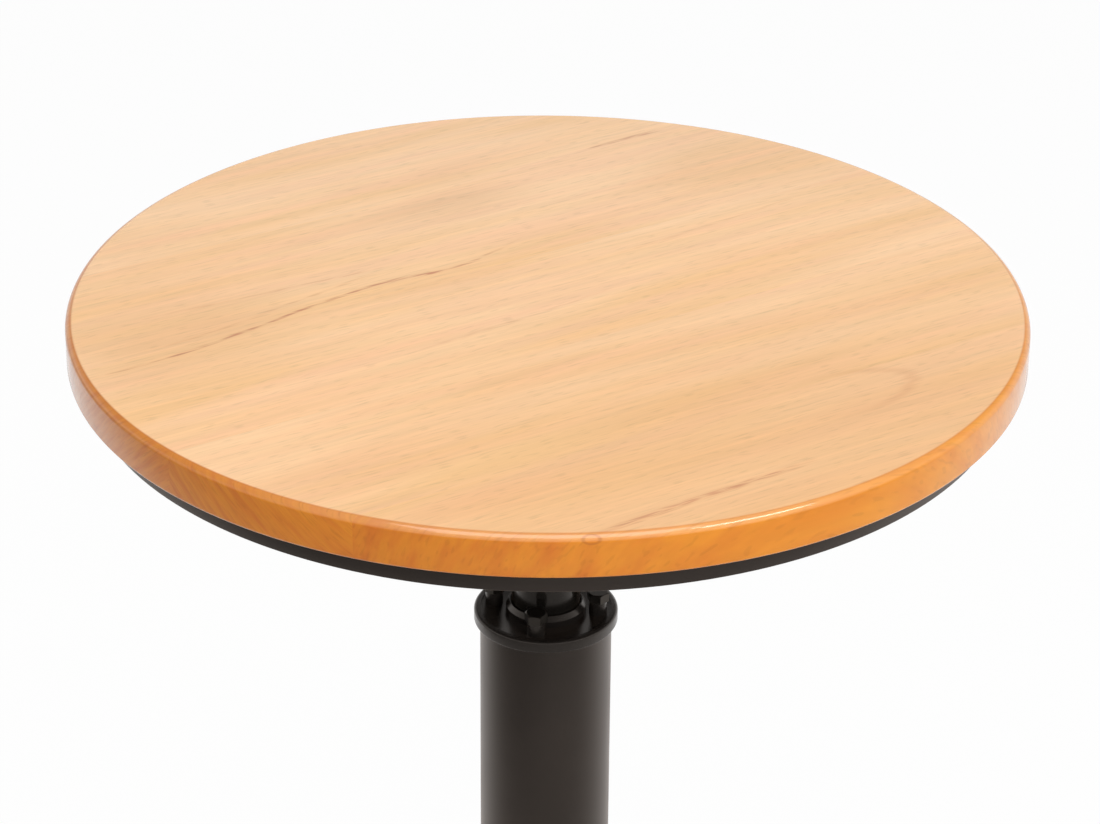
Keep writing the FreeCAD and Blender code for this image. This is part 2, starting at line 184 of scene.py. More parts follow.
def makeFloor():
    deselectAll()
    bpy.ops.mesh.primitive_plane_add(size=studioSet["floorSize"], location=(0, 0, 0))
    floor = bpy.context.object
    floor.name = "floor"

    # White paper: seen white, but a share of it is its real lit surface, so the shadow stays
    paper = bpy.data.materials.new("paperSweep")
    paper.use_nodes = True
    tree = paper.node_tree
    tree.nodes.clear()
    path = addNode(tree, "ShaderNodeLightPath")
    seen = addNode(tree, "ShaderNodeMath", {
        0: (path, "Is Camera Ray"), 1: (path, "Is Glossy Ray")}, operation="MAXIMUM")
    seen = addNode(tree, "ShaderNodeMath", {
        0: (seen, 0), 1: (path, "Is Transmission Ray")}, operation="MAXIMUM")
    share = addNode(tree, "ShaderNodeMath", {
        0: (seen, 0), 1: 1 - studioSet["shadowShare"]}, operation="MULTIPLY")
    matt = addNode(tree, "ShaderNodeBsdfDiffuse", {"Color": linear(studioSet["floorColour"])})
    coords = addNode(tree, "ShaderNodeTexCoord")
    place = addNode(tree, "ShaderNodeSeparateXYZ", {0: (coords, "Object")})
    front = addNode(tree, "ShaderNodeMapRange", {
        "Value": (place, "Y"), "To Min": studioSet["frontFloor"],
        "From Min": studioSet["frontReach"][0], "From Max": studioSet["frontReach"][1]},
        interpolation_type="SMOOTHSTEP")
    aside = addNode(tree, "ShaderNodeMath", {
        0: (place, "Y"), 1: studioSet["leftSlant"], 2: (place, "X")}, operation="MULTIPLY_ADD")
    left = addNode(tree, "ShaderNodeMapRange", {
        "Value": (aside, 0), "To Min": studioSet["leftFloor"],
        "From Min": studioSet["leftReach"][0], "From Max": studioSet["leftReach"][1]},
        interpolation_type="SMOOTHSTEP")
    gloss = addNode(tree, "ShaderNodeMath", {0: (front, 0), 1: (left, 0)}, operation="MULTIPLY")
    level = addNode(tree, "ShaderNodeMix", {
        "Factor": (path, "Is Glossy Ray"), "A": 1.0, "B": (gloss, 0)}, data_type="FLOAT")
    glow = addNode(tree, "ShaderNodeEmission", {"Color": studioSet["white"], "Strength": (level, 0)})
    mix = addNode(tree, "ShaderNodeMixShader", {0: (share, 0), 1: (matt, 0), 2: (glow, 0)})
    addNode(tree, "ShaderNodeOutputMaterial", {"Surface": (mix, 0)})
    floor.data.materials.append(paper)


def makeRoom():
    # White to the eye, darker to a gloss overhead and behind the camera
    world = bpy.data.worlds.new("studioRoom")
    bpy.context.scene.world = world
    world.use_nodes = True
    tree = world.node_tree
    tree.nodes.clear()
    path = addNode(tree, "ShaderNodeLightPath")
    coords = addNode(tree, "ShaderNodeTexCoord")
    way = addNode(tree, "ShaderNodeSeparateXYZ", {0: (coords, "Generated")})
    height = addNode(tree, "ShaderNodeMapRange", {
        "Value": (way, "Z"), "To Min": 1.0, "To Max": studioSet["overhead"],
        "From Min": studioSet["overheadReach"][0], "From Max": studioSet["overheadReach"][1]},
        interpolation_type="SMOOTHSTEP")
    front = addNode(tree, "ShaderNodeMapRange", {
        "Value": (way, "Y"), "To Min": studioSet["behind"],
        "From Min": studioSet["behindReach"][0], "From Max": studioSet["behindReach"][1]},
        interpolation_type="SMOOTHSTEP")
    gloss = addNode(tree, "ShaderNodeMath", {0: (height, 0), 1: (front, 0)}, operation="MULTIPLY")
    seen = addNode(tree, "ShaderNodeMath", {
        0: (path, "Is Camera Ray"), 1: (path, "Is Transmission Ray")}, operation="MAXIMUM")
    strength = addNode(tree, "ShaderNodeMix", {
        "Factor": (path, "Is Glossy Ray"), "A": studioSet["roomLight"], "B": (gloss, 0)}, data_type="FLOAT")
    strength = addNode(tree, "ShaderNodeMix", {
        "Factor": (seen, 0), "A": (strength, 0), "B": 1.0}, data_type="FLOAT")
    room = addNode(tree, "ShaderNodeBackground", {"Color": studioSet["white"], "Strength": (strength, 0)})
    addNode(tree, "ShaderNodeOutputWorld", {"Surface": (room, 0)})


def areaLamp(name, part):
    data = bpy.data.lights.new(name, "AREA")
    data.shape = "RECTANGLE"
    data.size, data.size_y = studioSet[part + "Size"]
    data.energy = studioSet[part + "Power"]
    lamp = bpy.data.objects.new(name, data)
    bpy.context.scene.collection.objects.link(lamp)
    lamp.location = studioSet[part + "Place"]
    lamp.rotation_mode = "QUATERNION"
    look = Vector(studioSet["lampAim"]) - Vector(studioSet[part + "Place"])
    lamp.rotation_quaternion = look.to_track_quat("-Z", "Y")
    lamp.visible_camera = False
    return lamp


def makeLamps():
    # The key only lights and the strip only glints on the rim: seen from behind, a low key would glare
    areaLamp("frontSoftbox", "front")
    areaLamp("keySoftbox", "key").visible_glossy = False
    areaLamp("rimStrip", "strip").visible_diffuse = False


makeFloor()
makeRoom()
makeLamps()
print("studio set")


# Materials

noiseMiddle = 0.5
noiseSpan = (0.3, 0.7)      # where most of a noise's values lie

# Lengths in mm
timberLook = {
    "grainAngle": 32.0,              # degrees from +X
    "boardWidth": 120.0,
    "topFace": 1030.0,
    "paleColour": "#F6CB9D",
    "honeyColour": "#EFBF88",
    "pinkColour": "#F3BE94",
    "amberColour": "#DD9024",
    "russetColour": "#B9651C",
    "veinColour": "#B56443",
    "knotColour": "#8A4A22",
    "darkUndersideColour": "#2E2824",
    "specular": 0.15,
    "lacquer": 0.85,
    "lacquerRoughness": 0.1,
    "roughness": (0.36, 0.46),
    "boardTints": (0.5, 0.4, 0.4, 0.3, 0.4),   # how russet each board's edge is
    "grainShift": 900.0,             # of a board's grain along itself, at most
    "ringSlant": 1.5,                # of the growth rings, sideways for each mm down, at most
    # length along the grain, width across it, noise detail; the fibres are twice as wide as real, to show
    "layers": {
        "bands": (330, 42, 2), "hues": (230, 22, 2), "streaks": (170, 6.5, 2),
        "fibres": (60, 2.2, 1), "pores": (13, 1.5, 0)},
    "depthStretch": 0.3,             # how fast the layers change downwards, as a share of across
    "bandSpan": (0.35, 0.68),
    "hueSpan": (0.45, 0.7),
    "hueShare": 0.6,
    "plainShade": 0.83,
    "streakShade": 0.2,
    "fibreShade": 0.16,
    "poreShade": -0.09,
    "poreSpan": (0.62, 0.74),
    # each vein: width, strength, points (along, across) from the middle of the top
    "veins": [
        (1.2, 0.55, [
            (-300, 49), (-241, 50), (-181, 58), (-117, 70), (-74, 74), (-28, 71), (2, 77), (40, 90)]),
        (1.0, 0.2, [(-236, 107), (-140, 99), (-43, 93)]),
        (2.5, 0.4, [(-142, -267), (-106, -265), (-62, -262), (-32, -261), (24, -259)]),
        (1.7, 0.42, [(136, 186), (169, 188.5), (212, 189)]),
        (1.2, 0.18, [(-262, 63), (-200, 68), (-120, 82), (-60, 92)]),
        (1.3, 0.14, [(-120, -20), (-20, -14), (60, -2)]),
        (1.3, 0.13, [(60, 35), (150, 41), (240, 52)]),
    ],
    "veinWander": {"streaks": 3.0, "fibres": 2.2},
    "veinBreaks": (0.38, 0.62),
    "veinStrengths": (0.25, 1.25),
    "veinFeather": (0.2, 1.6),       # in widths from its middle line
    "veinTaper": (0.3, 0.5),         # in lengths from its middle
    # soft patches of tone, and one of painted shade: middle, half lengths, colour, strength
    "patchesAndShade": [
        ((18, 156), (88, 31), "#DDAE80", 0.45),
        ((-133, -164), (110, 26), "#F0C67E", 0.3),
        ((-160, -205), (90, 22), "#F2B487", 0.35),
        ((-215, 75), (85, 20), "#EAB085", 0.35),
        ((120, -210), (80, 38), "#ECBA92", 0.3),
        ((-225, 60), (120, 90), "#E3B27C", 0.5),
        # painted shade: dims the front of the face, which the front softbox lights more than the back
        ((0, -300), (560, 320), "#DDAB76", 0.6),
        ((240, 115), (140, 80), "#E2AE74", 0.35),
    ],
    "patchCore": 0.2,
    # the grain's turn round a knot: middle, half axes, then the line's size and width in half axes
    "swirl": ((75, -200), (56, 24)),
    "swirlSize": 1.15,
    "swirlWidth": 0.16,
    "swirlWaver": 0.3,
    "swirlAhead": (-0.3, 0.6),
    "swirlStrength": 0.17,
    "ringSpan": (0.38, 0.75),
    "ringShare": 0.45,
    "palingReach": (-240.0, 160.0),  # along the grain, over which the edge turns from russet to amber
    "paling": (0.15, -0.35),
    "knot": ((25, -298.5, 1027.2), (6, 3.4, 3.4)),     # middle and half axes, on the front rounding
    "knotRing": 0.8,
    "knotWidth": (0.05, 0.3),
    "knotStrength": 0.35,
    "paintedHighlightDepth": (-4.4, -2.4),     # from the top face, where the front rounding is paled as a painted highlight
    "paintedHighlightMiddle": 50.0,
    "paintedHighlightReach": (80.0, 240.0),
    "paintedHighlightShare": (0.36, 0.06),
    "faceEdge": (295.8, 296.6),      # where the rubbed face ends and the amber edge begins
    "arris": 296.3,
    "arrisWidth": 1.1,
    "arrisStrength": 0.3,
    "darkUndersideBelow": -27.2,
    "fibreHeight": 0.4,
    "reliefStrength": 0.25,
    "reliefDepth": 0.05,
}


def woodGrain(tree):
    # Places in mm along and across the grain and below the top face, and the noise layers. Chance gives
    # each board its own shift of the grain and its own slant of the growth rings
    look = timberLook
    coords = addNode(tree, "ShaderNodeTexCoord")
    grain = addNode(tree, "ShaderNodeMapping", {
        "Vector": (coords, "Object"), "Rotation": (0, 0, -math.radians(look["grainAngle"])),
        "Scale": (1 / mm, 1 / mm, 1 / mm)})
    place = addNode(tree, "ShaderNodeSeparateXYZ", {0: (grain, 0)})
    board = addNode(tree, "ShaderNodeMath", {
        0: (place, "Y"), 1: 1 / look["boardWidth"], 2: len(look["boardTints"]) / 2}, operation="MULTIPLY_ADD")
    board = addNode(tree, "ShaderNodeMath", {0: (board, 0)}, operation="FLOOR")
    chance = addNode(tree, "ShaderNodeTexWhiteNoise", {"W": (board, 0)}, noise_dimensions="1D")
    slant = addNode(tree, "ShaderNodeMapRange", {
        "Value": (chance, "Value"), "To Min": -look["ringSlant"], "To Max": look["ringSlant"]})
    depth = addNode(tree, "ShaderNodeMath", {0: (place, "Z"), 1: look["topFace"]}, operation="SUBTRACT")
    across = addNode(tree, "ShaderNodeMath", {
        0: (slant, 0), 1: (depth, 0), 2: (place, "Y")}, operation="MULTIPLY_ADD")
    along = addNode(tree, "ShaderNodeMath", {
        0: (chance, "Value"), 1: look["grainShift"], 2: (place, "X")}, operation="MULTIPLY_ADD")
    fibre = addNode(tree, "ShaderNodeCombineXYZ", {"X": (along, 0), "Y": (across, 0), "Z": (depth, 0)})
    wood = {"coords": coords, "grain": grain, "place": place, "depth": depth, "board": board}
    for name, (length, width, detail) in look["layers"].items():
        stretched = addNode(tree, "ShaderNodeMapping", {
            "Vector": (fibre, 0), "Scale": (1 / length, 1 / width, look["depthStretch"] / width)})
        wood[name] = addNode(tree, "ShaderNodeTexNoise", {
            "Vector": (stretched, 0), "Scale": 1.0, "Detail": detail})
    return wood


def addShade(tree, wood):
    # How much paler or darker the streaks, the fibres and the open pores make the wood
    look = timberLook
    pore = addNode(tree, "ShaderNodeMapRange", {
        "Value": (wood["pores"], 0), "To Max": look["poreShade"],
        "From Min": look["poreSpan"][0], "From Max": look["poreSpan"][1]})
    shade = addNode(tree, "ShaderNodeMath", {
        0: (wood["streaks"], 0), 1: look["streakShade"], 2: look["plainShade"]}, operation="MULTIPLY_ADD")
    shade = addNode(tree, "ShaderNodeMath", {
        0: (wood["fibres"], 0), 1: look["fibreShade"], 2: (shade, 0)}, operation="MULTIPLY_ADD")
    shade = addNode(tree, "ShaderNodeMath", {0: (shade, 0), 1: (pore, 0)}, operation="ADD")
    wood["pore"] = pore
    wood["shade"] = shade


def faceColour(tree, wood):
    # Broad honey and pink bands and soft patches, one of them painted shade on the front, shaded by the grain
    look = timberLook
    band = addNode(tree, "ShaderNodeMapRange", {
        "Value": (wood["bands"], 0), "From Min": look["bandSpan"][0], "From Max": look["bandSpan"][1]})
    hue = addNode(tree, "ShaderNodeMapRange", {
        "Value": (wood["hues"], 0), "To Max": look["hueShare"],
        "From Min": look["hueSpan"][0], "From Max": look["hueSpan"][1]})
    face = addNode(tree, "ShaderNodeMix", {
        "Factor": (band, 0), "A": linear(look["paleColour"]), "B": linear(look["honeyColour"])},
        data_type="RGBA")
    face = addNode(tree, "ShaderNodeMix", {
        "Factor": (hue, 0), "A": (face, 2), "B": linear(look["pinkColour"])}, data_type="RGBA")
    for middle, reach, colour, strength in look["patchesAndShade"]:
        spot = addNode(tree, "ShaderNodeMapping", {
            "Vector": (wood["grain"], 0), "Scale": (1 / reach[0], 1 / reach[1], 0),
            "Location": (-middle[0] / reach[0], -middle[1] / reach[1], 0)})
        spot = addNode(tree, "ShaderNodeVectorMath", {0: (spot, 0)}, operation="LENGTH")
        spot = addNode(tree, "ShaderNodeMapRange", {
            "Value": (spot, "Value"), "From Min": look["patchCore"], "To Min": strength, "To Max": 0.0},
            interpolation_type="SMOOTHSTEP")
        face = addNode(tree, "ShaderNodeMix", {
            "Factor": (spot, 0), "A": (face, 2), "B": linear(colour)}, data_type="RGBA")
    face = addNode(tree, "ShaderNodeVectorMath", {
        0: (face, 2), "Scale": (wood["shade"], 0)}, operation="SCALE")
    return face, 0


def addVeins(tree, wood, face):
    # Thin red-brown lines that wander along the grain, broken at the pores and thinner towards their ends
    look = timberLook
    wander = (wood["place"], "Y")
    for layer, reach in look["veinWander"].items():
        swing = addNode(tree, "ShaderNodeMath", {0: (wood[layer], 0), 1: noiseMiddle}, operation="SUBTRACT")
        swing = addNode(tree, "ShaderNodeMath", {
            0: (swing, 0), 1: reach, 2: wander}, operation="MULTIPLY_ADD")
        wander = (swing, 0)
    broken = addNode(tree, "ShaderNodeMapRange", {
        "Value": (wood["pores"], 0), "From Min": look["veinBreaks"][0], "From Max": look["veinBreaks"][1],
        "To Min": look["veinStrengths"][0], "To Max": look["veinStrengths"][1]})
    for width, strength, points in look["veins"]:
        first, last = points[0][0], points[-1][0]
        low, high = min(p[1] for p in points), max(p[1] for p in points)
        way = addNode(tree, "ShaderNodeMapRange", {
            "Value": (wood["place"], "X"), "From Min": first, "From Max": last})
        line = addNode(tree, "ShaderNodeFloatCurve", {"Value": (way, 0)})
        curve = line.mapping.curves[0]
        shape = [((p[0] - first) / (last - first), (p[1] - low) / (high - low)) for p in points]
        curve.points[0].location = shape[0]
        curve.points[1].location = shape[-1]
        for x, y in shape[1:-1]:
            curve.points.new(x, y)
        line.mapping.update()
        line = addNode(tree, "ShaderNodeMath", {
            0: (line, 0), 1: high - low, 2: low}, operation="MULTIPLY_ADD")
        aside = addNode(tree, "ShaderNodeMath", {0: wander, 1: (line, 0)}, operation="SUBTRACT")
        aside = addNode(tree, "ShaderNodeMath", {0: (aside, 0)}, operation="ABSOLUTE")
        line = addNode(tree, "ShaderNodeMapRange", {
            "Value": (aside, 0), "From Min": look["veinFeather"][0] * width,
            "From Max": look["veinFeather"][1] * width, "To Min": strength, "To Max": 0.0},
            interpolation_type="SMOOTHSTEP")
        middle = addNode(tree, "ShaderNodeMath", {0: (way, 0), 1: 0.5}, operation="SUBTRACT")
        middle = addNode(tree, "ShaderNodeMath", {0: (middle, 0)}, operation="ABSOLUTE")
        fade = addNode(tree, "ShaderNodeMapRange", {
            "Value": (middle, 0), "From Min": look["veinTaper"][0], "From Max": look["veinTaper"][1],
            "To Min": 1.0, "To Max": 0.0})
        line = addNode(tree, "ShaderNodeMath", {0: (line, 0), 1: (fade, 0)}, operation="MULTIPLY")
        line = addNode(tree, "ShaderNodeMath", {0: (line, 0), 1: (broken, 0)}, operation="MULTIPLY")
        mixed = addNode(tree, "ShaderNodeMix", {
            "Factor": (line, 0), "A": face, "B": linear(look["veinColour"])}, data_type="RGBA")
        face = (mixed, 2)
    return face


def addSwirl(tree, wood, face):
    # The grain's turn round a knot, as a wavering half ellipse
    look = timberLook
    middle, reach = look["swirl"]
    bend = addNode(tree, "ShaderNodeMapping", {
        "Vector": (wood["grain"], 0), "Scale": (1 / reach[0], 1 / reach[1], 0),
        "Location": (-middle[0] / reach[0], -middle[1] / reach[1], 0)})
    ahead = addNode(tree, "ShaderNodeSeparateXYZ", {0: (bend, 0)})
    ahead = addNode(tree, "ShaderNodeMapRange", {
        "Value": (ahead, "X"), "To Max": look["swirlStrength"],
        "From Min": look["swirlAhead"][0], "From Max": look["swirlAhead"][1]})
    bend = addNode(tree, "ShaderNodeVectorMath", {0: (bend, 0)}, operation="LENGTH")
    bend = addNode(tree, "ShaderNodeMath", {
        0: (wood["streaks"], 0), 1: look["swirlWaver"], 2: (bend, "Value")}, operation="MULTIPLY_ADD")
    bend = addNode(tree, "ShaderNodeMath", {0: (bend, 0), 1: look["swirlSize"]}, operation="SUBTRACT")
    bend = addNode(tree, "ShaderNodeMath", {0: (bend, 0)}, operation="ABSOLUTE")
    bend = addNode(tree, "ShaderNodeMapRange", {
        "Value": (bend, 0), "From Max": look["swirlWidth"], "To Min": 1.0, "To Max": 0.0},
        interpolation_type="SMOOTHSTEP")
    bend = addNode(tree, "ShaderNodeMath", {0: (bend, 0), 1: (ahead, 0)}, operation="MULTIPLY")
    mixed = addNode(tree, "ShaderNodeMix", {
        "Factor": (bend, 0), "A": face, "B": linear(look["veinColour"])}, data_type="RGBA")
    return mixed, 2


def edgeColour(tree, wood, face):
    # Amber and russet growth rings, a painted highlight that pales the front of the rounding, and one small
    # knot
    look = timberLook
    boards = len(look["boardTints"])
    ring = addNode(tree, "ShaderNodeMapRange", {
        "Value": (wood["streaks"], 0), "From Min": look["ringSpan"][0], "From Max": look["ringSpan"][1]})
    share = addNode(tree, "ShaderNodeMath", {
        0: (wood["board"], 0), 1: 1 / boards, 2: 0.5 / boards}, operation="MULTIPLY_ADD")
    tint = addNode(tree, "ShaderNodeValToRGB", {0: (share, 0)})
    stops = tint.color_ramp.elements
    tint.color_ramp.interpolation = "CONSTANT"
    for index, russet in enumerate(look["boardTints"]):
        stop = stops.new(index / boards) if index else stops[0]
        stop.color = (russet, russet, russet, 1)
    paling = addNode(tree, "ShaderNodeMapRange", {
        "Value": (wood["place"], "X"), "To Min": look["paling"][0], "To Max": look["paling"][1],
        "From Min": look["palingReach"][0], "From Max": look["palingReach"][1]})
    tint = addNode(tree, "ShaderNodeMath", {0: (tint, 0), 1: (paling, 0)}, operation="ADD")
    ring = addNode(tree, "ShaderNodeMath", {
        0: (ring, 0), 1: look["ringShare"], 2: (tint, 0)}, operation="MULTIPLY_ADD", use_clamp=True)
    edge = addNode(tree, "ShaderNodeMix", {
        "Factor": (ring, 0), "A": linear(look["amberColour"]), "B": linear(look["russetColour"])},
        data_type="RGBA")
    edge = addNode(tree, "ShaderNodeVectorMath", {
        0: (edge, 2), "Scale": (wood["shade"], 0)}, operation="SCALE")

    # Painted highlight: the front of the rounding is mixed towards the pale face colour, most near its middle
    side = addNode(tree, "ShaderNodeSeparateXYZ", {0: (wood["coords"], "Object")})
    side = addNode(tree, "ShaderNodeMath", {
        0: (side, "X"), 1: look["paintedHighlightMiddle"] * mm}, operation="SUBTRACT")
    side = addNode(tree, "ShaderNodeMath", {0: (side, 0)}, operation="ABSOLUTE")
    paintedHighlight = addNode(tree, "ShaderNodeMapRange", {
        "Value": (side, 0), "To Min": look["paintedHighlightShare"][0], "To Max": look["paintedHighlightShare"][1],
        "From Min": look["paintedHighlightReach"][0] * mm, "From Max": look["paintedHighlightReach"][1] * mm})
    paintedHighlight = addNode(tree, "ShaderNodeMapRange", {
        "Value": (wood["depth"], 0), "To Max": (paintedHighlight, 0),
        "From Min": look["paintedHighlightDepth"][0], "From Max": look["paintedHighlightDepth"][1]})
    edge = addNode(tree, "ShaderNodeMix", {
        "Factor": (paintedHighlight, 0), "A": (edge, 0), "B": face}, data_type="RGBA")

    middle, reach = look["knot"]
    knot = addNode(tree, "ShaderNodeMapping", {
        "Vector": (wood["coords"], "Object"), "Scale": [1 / (mm * r) for r in reach],
        "Location": [-m / r for m, r in zip(middle, reach)]})
    knot = addNode(tree, "ShaderNodeVectorMath", {0: (knot, 0)}, operation="LENGTH")
    knot = addNode(tree, "ShaderNodeMath", {0: (knot, "Value"), 1: look["knotRing"]}, operation="SUBTRACT")
    knot = addNode(tree, "ShaderNodeMath", {0: (knot, 0)}, operation="ABSOLUTE")
    knot = addNode(tree, "ShaderNodeMapRange", {
        "Value": (knot, 0), "From Min": look["knotWidth"][0], "From Max": look["knotWidth"][1],
        "To Min": look["knotStrength"], "To Max": 0.0}, interpolation_type="SMOOTHSTEP")
    edge = addNode(tree, "ShaderNodeMix", {
        "Factor": (knot, 0), "A": (edge, 2), "B": linear(look["knotColour"])}, data_type="RGBA")
    return edge, 2


def varnishedTimber():
    # Light hardwood, glued boards under clear lacquer: pale rubbed face with fine streaks and a few
    # red veins, amber where the stain was left on the turned edge, a smooth gloss over both
    look = timberLook
    material, tree, shader = startMaterial("varnishedTimber", {
        "Specular IOR Level": look["specular"], "Coat Weight": look["lacquer"],
        "Coat Roughness": look["lacquerRoughness"]})
    wood = woodGrain(tree)
    addShade(tree, wood)
    face = addSwirl(tree, wood, addVeins(tree, wood, faceColour(tree, wood)))
    edge = edgeColour(tree, wood, face)

    # The face gives way to the edge on the rounding, past a fine darker line
    flat = addNode(tree, "ShaderNodeCombineXYZ", {"X": (wood["place"], "X"), "Y": (wood["place"], "Y")})
    radius = addNode(tree, "ShaderNodeVectorMath", {0: (flat, 0)}, operation="LENGTH")
    onEdge = addNode(tree, "ShaderNodeMapRange", {
        "Value": (radius, "Value"), "From Min": look["faceEdge"][0], "From Max": look["faceEdge"][1]})
    colour = addNode(tree, "ShaderNodeMix", {"Factor": (onEdge, 0), "A": face, "B": edge}, data_type="RGBA")
    line = addNode(tree, "ShaderNodeMath", {0: (radius, "Value"), 1: look["arris"]}, operation="SUBTRACT")
    line = addNode(tree, "ShaderNodeMath", {0: (line, 0)}, operation="ABSOLUTE")
    line = addNode(tree, "ShaderNodeMapRange", {
        "Value": (line, 0), "From Max": look["arrisWidth"], "To Min": look["arrisStrength"], "To Max": 0.0},
        interpolation_type="SMOOTHSTEP")
    colour = addNode(tree, "ShaderNodeMix", {
        "Factor": (line, 0), "A": (colour, 2), "B": linear(look["russetColour"])}, data_type="RGBA")
    # The underside, below this depth, is one plain dark colour
    low = addNode(tree, "ShaderNodeMath", {
        0: (wood["depth"], 0), 1: look["darkUndersideBelow"]}, operation="LESS_THAN")
    colour = addNode(tree, "ShaderNodeMix", {
        "Factor": (low, 0), "A": (colour, 2), "B": linear(look["darkUndersideColour"])}, data_type="RGBA")
    tree.links.new(colour.outputs[2], shader.inputs["Base Color"])

    rough = addNode(tree, "ShaderNodeMapRange", {
        "Value": (wood["streaks"], 0), "From Min": noiseSpan[0], "From Max": noiseSpan[1],
        "To Min": look["roughness"][0], "To Max": look["roughness"][1]})
    tree.links.new(rough.outputs[0], shader.inputs["Roughness"])
    height = addNode(tree, "ShaderNodeMath", {
        0: (wood["fibres"], 0), 1: look["fibreHeight"], 2: (wood["pore"], 0)}, operation="MULTIPLY_ADD")
    bump = addNode(tree, "ShaderNodeBump", {
        "Strength": look["reliefStrength"], "Distance": look["reliefDepth"] * mm, "Height": (height, 0)})
    tree.links.new(bump.outputs[0], shader.inputs["Normal"])
    return material


def cloudyMaterial(name, look, shaderValues):
    # Colour and gloss that drift a little in soft clouds, as on any painted, plated or moulded surface
    material, tree, shader = startMaterial(name, shaderValues)
    coords = addNode(tree, "ShaderNodeTexCoord")
    cloud = addNode(tree, "ShaderNodeTexNoise", {
        "Vector": (coords, "Object"), "Scale": 1 / (look["cloudSize"] * mm), "Detail": look["cloudDetail"]})
    patch = addNode(tree, "ShaderNodeMapRange", {
        "Value": (cloud, 0), "From Min": look["cloudSpan"][0], "From Max": look["cloudSpan"][1]})
    mixed = addNode(tree, "ShaderNodeMix", {
        "Factor": (patch, 0), "A": linear(look["colours"][0]), "B": linear(look["colours"][1])},
        data_type="RGBA")
    tree.links.new(mixed.outputs[2], shader.inputs["Base Color"])
    rough = addNode(tree, "ShaderNodeMapRange", {
        "Value": (cloud, 0), "From Min": noiseSpan[0], "From Max": noiseSpan[1],
        "To Min": look["roughness"][0], "To Max": look["roughness"][1]})
    tree.links.new(rough.outputs[0], shader.inputs["Roughness"])
    return material, tree, shader, coords


paintSet = {
    "cloudSize": 60, "cloudDetail": 3.0, "cloudSpan": (0.35, 0.7),
    "glossTint": "#FFF0E4", "sheenTint": "#A27D60", "sheenRoughness": 0.4, "coatRoughness": 0.1,
    "peelStrength": 0.4, "peelDetail": 1.0,
}
paintLooks = {
    # the orange peel's size and depth in mm
    "powderCoatedSteel": {
        "colours": ("#1B1512", "#211A16"), "roughness": (0.28, 0.36), "peelSize": 2.4, "peelDepth": 0.012,
        "coat": 0.0, "shine": 0.92, "sheen": 0.45},
    "glossEnamelledTube": {
        "colours": ("#12110F", "#181614"), "roughness": (0.14, 0.2), "peelSize": 5.0, "peelDepth": 0.006,
        "coat": 0.2, "shine": 0.62, "sheen": 0.2},
    "enamelledCasting": {
        "colours": ("#1E1B19", "#24201D"), "roughness": (0.2, 0.28), "peelSize": 3.2, "peelDepth": 0.02,
        "coat": 0.0, "shine": 0.66, "sheen": 0.1},
}


def paint(name):
    # Baked paint on steel or iron: a dark film with a faint orange peel and small changes of gloss
    look = {**paintSet, **paintLooks[name]}
    material, tree, shader, coords = cloudyMaterial(name, look, {
        "Specular IOR Level": look["shine"], "Specular Tint": linear(look["glossTint"]),
        "Sheen Weight": look["sheen"], "Sheen Roughness": look["sheenRoughness"],
        "Sheen Tint": linear(look["sheenTint"]), "Coat Weight": look["coat"],
        "Coat Roughness": look["coatRoughness"]})
    peel = addNode(tree, "ShaderNodeTexNoise", {
        "Vector": (coords, "Object"), "Scale": 1 / (look["peelSize"] * mm), "Detail": look["peelDetail"]})
    bump = addNode(tree, "ShaderNodeBump", {
        "Strength": look["peelStrength"], "Distance": look["peelDepth"] * mm, "Height": (peel, 0)})
    tree.links.new(bump.outputs[0], shader.inputs["Normal"])
    return material


metalSet = {
    "cloudDetail": 2.0, "cloudSpan": (0.0, 1.0),
    # mm: turning marks up the piece, drawn coarser than the real 0.1 mm, and how far they run round it
    "markPitch": 0.5, "markRun": 50, "markDepth": 0.02, "markStrength": 0.2,
}
metalLooks = {
    "blackOxideSteel": {"colours": ("#4A4642", "#5C554E"), "roughness": (0.26, 0.4), "cloudSize": 6.0},
    "brightZincSteel": {"colours": ("#BFC2C2", "#CFC9B4"), "roughness": (0.22, 0.36), "cloudSize": 7.0},
    "turnedSteel": {"colours": ("#8E8E8C", "#9A9893"), "roughness": (0.28, 0.42), "cloudSize": 3.0},
}


def metal(name):
    # Fasteners and turned steel: bare or plated metal, a little cloudy, with fine marks round it
    look = {**metalSet, **metalLooks[name]}
    material, tree, shader, coords = cloudyMaterial(name, look, {"Metallic": 1.0})
    run = 1 / (look["markRun"] * mm)
    marks = addNode(tree, "ShaderNodeMapping", {
        "Vector": (coords, "Object"), "Scale": (run, run, 1 / (look["markPitch"] * mm))})
    marks = addNode(tree, "ShaderNodeTexNoise", {"Vector": (marks, 0), "Scale": 1.0, "Detail": 0.0})
    bump = addNode(tree, "ShaderNodeBump", {
        "Strength": look["markStrength"], "Distance": look["markDepth"] * mm, "Height": (marks, 0)})
    tree.links.new(bump.outputs[0], shader.inputs["Normal"])
    return material


plasticSet = {
    "cloudSize": 14, "cloudDetail": 2.0, "cloudSpan": (0.0, 1.0),
    "grainStrength": 0.4, "grainDetail": 1.0,
}
plasticLooks = {
    # the grain's size and depth in mm
    "turnedNylon": {
        "colours": ("#D9D4C4", "#CFC9B8"), "roughness": (0.4, 0.52), "grainSize": 0.8, "grainDepth": 0.03},
    "mouldedPolyethylene": {
        "colours": ("#1D1D1C", "#262625"), "roughness": (0.46, 0.6), "grainSize": 0.9, "grainDepth": 0.05},
}


